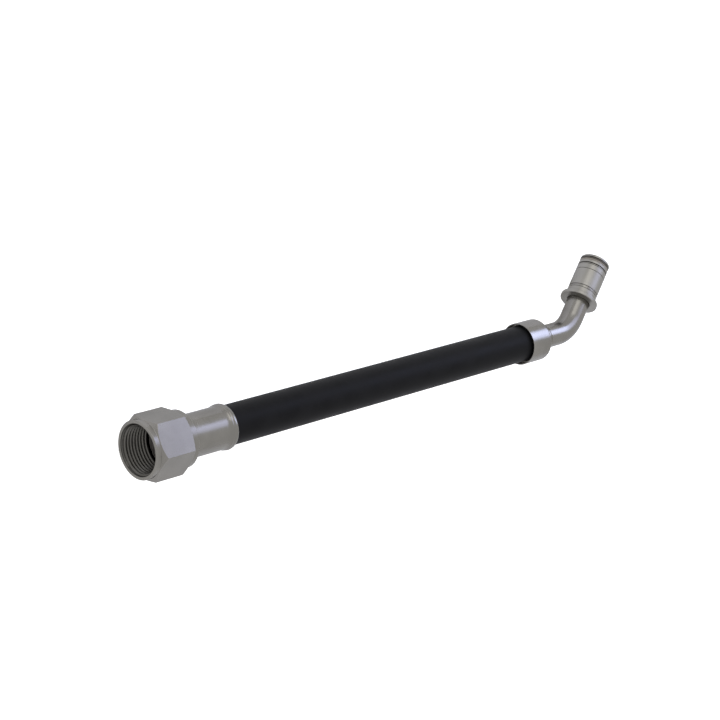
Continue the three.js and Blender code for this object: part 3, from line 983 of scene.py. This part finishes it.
@dataclass
class ElbowEnd:
    """Ferrule, barbed stem, braze fillet and bent tube.

    Attributes:
        axis: the hose axis.
        ferrule_front: position of the ferrule's mouth.
        ferrule_rear: position of its rear face.
        ferrule_radius: radius of its barrel.
        rounding: radius of its rear shoulder.
        mouth: radius of its wide mouth.
        mouth_depth: depth of the wide mouth.
        ferrule_bore: radius of its bore behind the mouth.
        lip: thickness of its inward lip.
        neck: radius of the stem's neck.
        stem_rear: position of the stem's rear face.
        stem_bore: radius of the stem's bore.
        socket: radius of the socket that holds the tube.
        tube_start: position of the tube's end in the socket.
        tube_end: position of its other end, on the plug axis.
        tube_radius: outer radius of the tube.
        wall: thickness of its wall.
        vertex: position where the two axes cross.
        angle: angle of the bend, in degrees.
        bend_radius: radius of the bend.
    """

    axis: Axis
    ferrule_front: float = 328.5
    ferrule_rear: float = 347.6
    ferrule_radius: float = 14.15
    rounding: float = 1.8
    mouth: float = 13.4
    mouth_depth: float = 4.0
    ferrule_bore: float = 12.4
    lip: float = 2.4
    neck: float = 9.6
    stem_rear: float = 353.4
    stem_bore: float = 5.9
    socket: float = 8.3
    tube_start: float = 346.8
    tube_end: float = 40.0
    tube_radius: float = 8.0
    wall: float = 2.0
    vertex: float = 380.1
    angle: float = 45.0
    bend_radius: float = 26.9

    @property
    def plug_axis(self) -> Axis:
        """The axis of the plug, from where it crosses the hose axis."""
        return Axis(self.axis.place(self.vertex), math.radians(self.angle))

    def ferrule(self) -> bpy.types.Object:
        """The ferrule: wide mouth, plain barrel and rounded rear shoulder."""
        shoulder = (self.ferrule_rear - self.rounding, self.ferrule_radius - self.rounding)
        lip_start = self.ferrule_rear - self.lip
        mouth_end = self.ferrule_front + self.mouth_depth
        outline = [
            (self.ferrule_front, self.mouth), (self.ferrule_front, self.ferrule_radius),
            *arc(shoulder, self.rounding, 90, 0, 10),
            (self.ferrule_rear, self.neck + 0.3), (lip_start, self.neck + 0.3),
            (lip_start, self.ferrule_bore), (mouth_end, self.ferrule_bore),
            (mouth_end, self.mouth),
        ]
        return turned("plug_end_ferrule.fine", outline, self.axis)

    def stem(self) -> bpy.types.Object:
        """The stem: barbed tail, shoulder behind the hose, neck and tube socket."""
        shoulder, pitch, root, crest = 342.3, 4.5, 7.1, 7.6
        shoulder_radius = 11.8
        tip = shoulder - 2.8 * pitch
        barbs = [
            (tip + (i + x) * pitch, r)
            for i in (0, 1)
            for x, r in ((0.8, crest), (0.95, crest), (1.0, root))
        ]
        shoulder_end = self.ferrule_rear - self.lip - 0.3
        outline = [
            (tip, self.stem_bore), (tip, root - 0.4), *barbs,
            (shoulder, root), (shoulder, shoulder_radius),
            (shoulder_end, shoulder_radius), (shoulder_end, self.neck),
            (self.stem_rear - 0.4, self.neck), (self.stem_rear, self.neck - 0.4),
            (self.stem_rear, self.socket), (self.tube_start - 0.3, self.socket),
            (self.tube_start - 0.3, self.stem_bore),
        ]
        return turned("elbow_stem.fine", outline, self.axis, rounding=FINE_ROUNDING)

    def tube(self) -> bpy.types.Object:
        """The tube: a ring of edges drawn straight, spun through the bend and drawn straight again."""
        tangent = self.bend_radius * math.tan(math.radians(self.angle / 2))
        bend_start = self.vertex - tangent
        bpy.ops.object.select_all(action="DESELECT")
        bpy.ops.mesh.primitive_circle_add(
            vertices=SIDES, radius=self.tube_radius * MM, location=self.axis.place(self.tube_start),
            rotation=(0, math.pi / 2, 0),
        )
        tube = new_piece("elbow_tube.fine")
        enter_edit(tube)
        lead = self.axis.place(bend_start) - self.axis.place(self.tube_start)
        bpy.ops.mesh.extrude_edges_move(TRANSFORM_OT_translate={"value": lead})
        bpy.ops.mesh.spin(
            steps=24, angle=-math.radians(self.angle), axis=(0, 0, 1),
            center=self.axis.aside(bend_start, self.bend_radius),
        )
        run = self.plug_axis.place(self.tube_end) - self.plug_axis.place(tangent)
        bpy.ops.mesh.extrude_edges_move(TRANSFORM_OT_translate={"value": run})
        close_surface()
        wall = tube.modifiers.new("wall", "SOLIDIFY")
        wall.thickness = self.wall * MM
        wall.offset = -1
        wall.use_even_offset = True
        apply_modifier(tube, wall)
        round_edges(tube, 0.25)
        smooth(tube)
        return tube

    def build(self, fitter: Fitter) -> None:
        """Makes the pieces of the elbow end and fits them."""
        turned_steel = Steel("elbow_turned_steel", self.axis).material()
        tube_steel = Steel("drawn_tube", self.axis, grain=Grain.LINES, mark_depth=0.0004).material()
        braze = braze_metal("braze_metal", self.axis)
        fitter.fit(self.ferrule(), "plug_end_ferrule", turned_steel)
        fitter.fit(self.stem(), "elbow_stem", turned_steel)
        fillet = fillet_ring("stem_braze_ring.fine", self.axis, self.stem_rear + 0.3,
                             self.stem_rear + 1.4, self.socket, 9.2)
        fitter.fit(fillet, "stem_braze_ring", braze)
        fitter.fit(self.tube(), "elbow_tube", tube_steel)


def fillet_ring(
    name: str, axis: Axis, base: float, tip: float, inner: float, outer: float
) -> bpy.types.Object:
    """A ring of filler metal with a hollow slope, from its wide base to its thin tip.

    Args:
        name: the new piece's name.
        axis: the axis it lies round.
        base: position of its wide end.
        tip: position of its thin end.
        inner: its inner radius.
        outer: outer radius of its wide end.

    Returns:
        The closed, outward-facing piece.
    """
    steps, rim = 6, 0.3
    slope = [
        (base + (tip - base) * i / steps, inner + rim + (outer - inner - rim) * (1 - i / steps) ** 1.8)
        for i in range(steps + 1)
    ]
    return turned(name, [(base, inner), *slope, (tip, inner)], axis, rounding=0.05)


# ---- plug ---------------------------------------------------------------------------


@dataclass
class Plug:
    """Quick-connect male plug with its rings and seals, and the release sleeve that slides on it.

    Attributes:
        axis: the plug axis.
        end: position of the plug's end face.
        radius: radius of its head and of the sleeve's collar.
        neck: radius of the neck under the sleeve.
        neck_rear: position of the neck's start.
        head_rear: position of the head's start.
        bore: radius of the bore.
        socket: radius of the tube's socket.
        socket_end: position of the socket's bottom.
        groove_radius: radius at the bottom of the head's two grooves.
        snap_groove: first and last position of the snap ring's groove.
        seal_groove: first and last position of the O-ring's groove.
        sleeve_front: position of the sleeve's flange face.
        flange_radius: radius of the flange.
        flange_thickness: thickness of the flange.
        lip: thickness and radius of the flange's lip round the tube.
        band_groove: first and last position of the sleeve's groove.
        band_groove_radius: radius at the bottom of the sleeve's groove.
        band: first and last position of the indicator band.
        band_radius: outer radius of the indicator band.
        snap_ring: place and radii of the snap ring.
        snap_gap: opening between the snap ring's two ends.
        o_ring: place and radii of the O-ring.
        dust_seal: first and last position of the dust seal.
        backup_ring: first and last position of the backup ring.
        backup_radii: inner and outer radius of the backup ring.
    """

    axis: Axis
    end: float = 58.7
    radius: float = 10.6
    neck: float = 9.1
    neck_rear: float = 28.6
    head_rear: float = 46.9
    bore: float = 6.0
    socket: float = 8.3
    socket_end: float = 40.3
    groove_radius: float = 8.7
    snap_groove: Point = (50.5, 52.1)
    seal_groove: Point = (53.9, 56.9)
    sleeve_front: float = 24.3
    flange_radius: float = 13.2
    flange_thickness: float = 2.6
    lip: Point = (1.0, 8.3)
    band_groove: Point = (31.2, 33.5)
    band_groove_radius: float = 9.9
    band: Point = (31.5, 33.2)
    band_radius: float = 10.5
    snap_ring: Ring = (51.3, 9.75, 0.62)
    snap_gap: float = 2.5
    o_ring: Ring = (56.05, 9.75, 0.68)
    dust_seal: Point = (25.6, 27.1)
    backup_ring: Point = (54.0, 55.2)
    backup_radii: Point = (9.0, 10.5)

    def nipple(self) -> bpy.types.Object:
        """The plug: neck with the tube's socket, then the head with its two grooves."""
        grooves = [
            point
            for first, last in (self.snap_groove, self.seal_groove)
            for point in (
                (first, self.radius), (first, self.groove_radius),
                (last, self.groove_radius), (last, self.radius),
            )
        ]
        outline = [
            (self.neck_rear, self.socket), (self.neck_rear, self.neck), (self.head_rear, self.neck),
            (self.head_rear, self.radius), *grooves,
            (self.end - 0.5, self.radius), (self.end, self.radius - 0.5),
            (self.end, self.bore + 0.4), (self.end - 0.4, self.bore),
            (self.socket_end, self.bore), (self.socket_end, self.socket),
        ]
        return turned("plug_nipple.fine", outline, self.axis)

    def sleeve(self) -> bpy.types.Object:
        """The release sleeve: thumb flange, collar and the indicator band's groove."""
        flange_end = self.sleeve_front + self.flange_thickness
        sleeve_rear = self.head_rear - 0.3
        corner = 0.5
        first, last = self.band_groove
        outline = [
            (self.sleeve_front + self.lip[0], self.neck + 0.3),
            (self.sleeve_front + self.lip[0], self.lip[1]), (self.sleeve_front, self.lip[1]),
            *arc((self.sleeve_front + corner, self.flange_radius - corner), corner, 180, 90, 4),
            *arc((flange_end - corner, self.flange_radius - corner), corner, 90, 0, 4),
            (flange_end, self.radius), (first, self.radius), (first, self.band_groove_radius),
            (last, self.band_groove_radius), (last, self.radius), (sleeve_rear, self.radius),
            (sleeve_rear, self.neck + 0.3),
        ]
        return turned("release_sleeve.fine", outline, self.axis, rounding=FINE_ROUNDING)

    def washer(self, name: str, span: Point, inner: float, outer: float) -> bpy.types.Object:
        """A flat ring with rounded edges between two positions."""
        outline = [(span[0], inner), (span[0], outer), (span[1], outer), (span[1], inner)]
        return turned(name, outline, self.axis, rounding=FINE_ROUNDING)

    def build(self, fitter: Fitter) -> None:
        """Makes the pieces of the plug and fits them."""
        # painted light: the plug's steel is a lighter copy of the turned steel, standing for light
        # that the lamps don't give it
        turned_steel = Steel("plug_steel_painted_lighter", self.axis, (0.25, 0.242, 0.226), 0.36).material()
        band_steel = Steel("band_steel", self.axis, roughness=0.26).material()
        wire_steel = Steel("snap_wire", self.axis, grain=Grain.FINE).material()
        braze = braze_metal("plug_braze_metal", self.axis)
        seal = Rubber("seal_rubber", (0.045, 0.037, 0.03), 0.42, 0.5, line_depth=0.002).material()
        fitter.fit(self.nipple(), "plug_nipple", turned_steel)
        fitter.fit(self.sleeve(), "release_sleeve", turned_steel)
        fillet = fillet_ring("plug_braze_ring.fine", self.axis, self.neck_rear - 0.3,
                             self.neck_rear - 1.2, self.socket, 9.0)
        fitter.fit(fillet, "plug_braze_ring", braze)
        band = self.washer(
            "indicator_band.fine", self.band, self.band_groove_radius + 0.3, self.band_radius)
        fitter.fit(band, "indicator_band", band_steel)
        snap = wire_ring("snap_ring.fine", self.axis, *self.snap_ring, gap=self.snap_gap)
        fitter.fit(snap, "snap_ring", wire_steel)
        soft = {
            "dust_seal": (
                self.washer("dust_seal.fine", self.dust_seal, self.socket, self.neck), seal),
            "o_ring": (wire_ring("o_ring.fine", self.axis, *self.o_ring), seal),
            "backup_ring": (
                self.washer("backup_ring.fine", self.backup_ring, *self.backup_radii),
                FilledPtfe().material()),
        }
        for node, (piece, finish) in soft.items():
            mark_rest(piece, self.axis)
            fitter.fit(piece, node, finish)


# ---- studio -------------------------------------------------------------------------


@dataclass
class Studio:
    """Camera, floor and lights.

    Attributes:
        target: the point that the camera looks at, in millimetres.
        distance: from there to the camera, in millimetres.
        azimuth: the camera's azimuth in degrees, 0 looking along +Y.
        elevation: its elevation in degrees.
        roll: its roll from upright in degrees.
        lens: focal length in millimetres.
        sensor: width of the camera's sensor in millimetres.
        floor_size: width of the floor in metres.
        floor_glow: the floor's glow in reflections, and as the camera sees it.
        lamp_distance: from the middle of the assembly to each lamp, in metres.
        middle_height: height of the middle of the assembly in metres.
    """

    target: tuple[float, float, float] = (-34.55, 2.58, 19.38)
    distance: float = 1188.29
    azimuth: float = -99.74
    elevation: float = 45.33
    roll: float = -88.75
    lens: float = 96.35
    sensor: float = 36
    floor_size: float = 12
    floor_glow: Point = (0.14, 0.8)
    lamp_distance: float = 1.8
    middle_height: float = 0.02

    def camera(self) -> None:
        """Makes the scene's camera."""
        data = bpy.data.cameras.new("camera")
        data.lens = self.lens
        data.sensor_width = self.sensor
        camera = bpy.data.objects.new("camera", data)
        bpy.context.scene.collection.objects.link(camera)
        bpy.context.scene.camera = camera
        turn, lift = math.radians(self.azimuth), math.radians(self.elevation)
        back = Vector((
            math.sin(turn) * math.cos(lift), -math.cos(turn) * math.cos(lift), math.sin(lift)))
        right = Vector((0, 0, 1)).cross(back).normalized()
        upright = Matrix((right, back.cross(right), back)).transposed()
        rolled = Matrix.Rotation(-math.radians(self.roll), 3, back) @ upright
        place = MM * (Vector(self.target) + self.distance * back)
        camera.matrix_world = Matrix.Translation(place) @ rolled.to_4x4()

    def floor(self) -> None:
        """A plain pale floor, brighter to the camera than in the reflections on the metal."""
        bpy.ops.mesh.primitive_plane_add(size=self.floor_size)
        floor = bpy.context.active_object
        floor.name = "floor"
        wiring = Wiring("pale_floor", (0.86, 0.86, 0.86), 0.8, specular=0.2)
        wiring.shader.inputs["Emission Color"].default_value = (1, 1, 1, 1)
        seen = wiring.tree.nodes.new("ShaderNodeLightPath").outputs["Is Camera Ray"]
        glow = wiring.span(seen, UNIT, self.floor_glow)
        wiring.tree.links.new(glow, wiring.shader.inputs["Emission Strength"])
        floor.data.materials.append(wiring.material)

    def surroundings(self) -> None:
        """A soft world: pale at the horizon and towards -X, and dimmer overhead towards +X."""
        world = bpy.data.worlds.new("soft_studio")
        world.use_nodes = True
        bpy.context.scene.world = world
        tree = world.node_tree
        background = tree.nodes["Background"]
        coordinates = tree.nodes.new("ShaderNodeTexCoord")
        split = tree.nodes.new("ShaderNodeSeparateXYZ")
        overhead = tree.nodes.new("ShaderNodeMapRange")
        behind = tree.nodes.new("ShaderNodeMapRange")
        brighter = tree.nodes.new("ShaderNodeMath")
        brighter.operation = "MAXIMUM"
        for node, way, numbers in (
            (overhead, "Z", (0.12, 0.5, 1.0, 0.65)), (behind, "X", (0.2, 0.55, 1.0, 0.0)),
        ):
            tree.links.new(split.outputs[way], node.inputs["Value"])
            for name, number in zip(RANGE_SOCKETS, numbers):
                node.inputs[name].default_value = number
        tree.links.new(overhead.outputs[0], brighter.inputs[0])
        tree.links.new(behind.outputs[0], brighter.inputs[1])
        tree.links.new(brighter.outputs[0], background.inputs["Color"])
        background.inputs["Strength"].default_value = 1.0

    def softbox(
        self, name: str, direction: tuple[float, float, float], size: Point, power: float, color: Color
    ) -> None:
        """A rectangular lamp aimed at the middle of the assembly.

        Args:
            name: the lamp's name.
            direction: from the assembly towards the lamp.
            size: its width and height in metres.
            power: its power in watts.
            color: its colour.
        """
        data = bpy.data.lights.new(name, "AREA")
        data.shape = "RECTANGLE"
        data.size, data.size_y = size
        data.energy = power
        data.color = color
        lamp = bpy.data.objects.new(name, data)
        bpy.context.scene.collection.objects.link(lamp)
        away = Vector(direction).normalized()
        lamp.location = self.lamp_distance * away + Vector((0, 0, self.middle_height))
        lamp.rotation_euler = away.to_track_quat("Z", "Y").to_euler()

    def build(self) -> None:
        """Sets up the whole studio."""
        bpy.context.scene.view_settings.view_transform = "Standard"
        self.camera()
        self.floor()
        self.surroundings()
        self.softbox("window", (0.809, 0.294, 0.509), (0.9, 0.5), 7.4, (0.575, 0.65, 1.0))
        self.softbox("fill", (0.595, 0.327, 0.734), (0.9, 0.5), 2.5, (0.59, 0.64, 1.0))
        self.softbox("side", (-0.2, 0.68, 0.7), (1.2, 1.2), 5.2, (1.0, 0.99, 0.95))


# ---- the whole assembly -------------------------------------------------------------


def main() -> None:
    """Builds the studio, the hose and the fittings at its two ends."""
    logging.basicConfig(level=logging.INFO, format="%(name)s: %(message)s")
    axis = hose_axis()
    fitter = Fitter(frame["record"])
    Studio().build()
    Hose(axis).build(fitter)
    NutEnd(axis).build(fitter)
    elbow = ElbowEnd(axis)
    elbow.build(fitter)
    Plug(elbow.plug_axis).build(fitter)


if __name__ == "__main__":
    main()
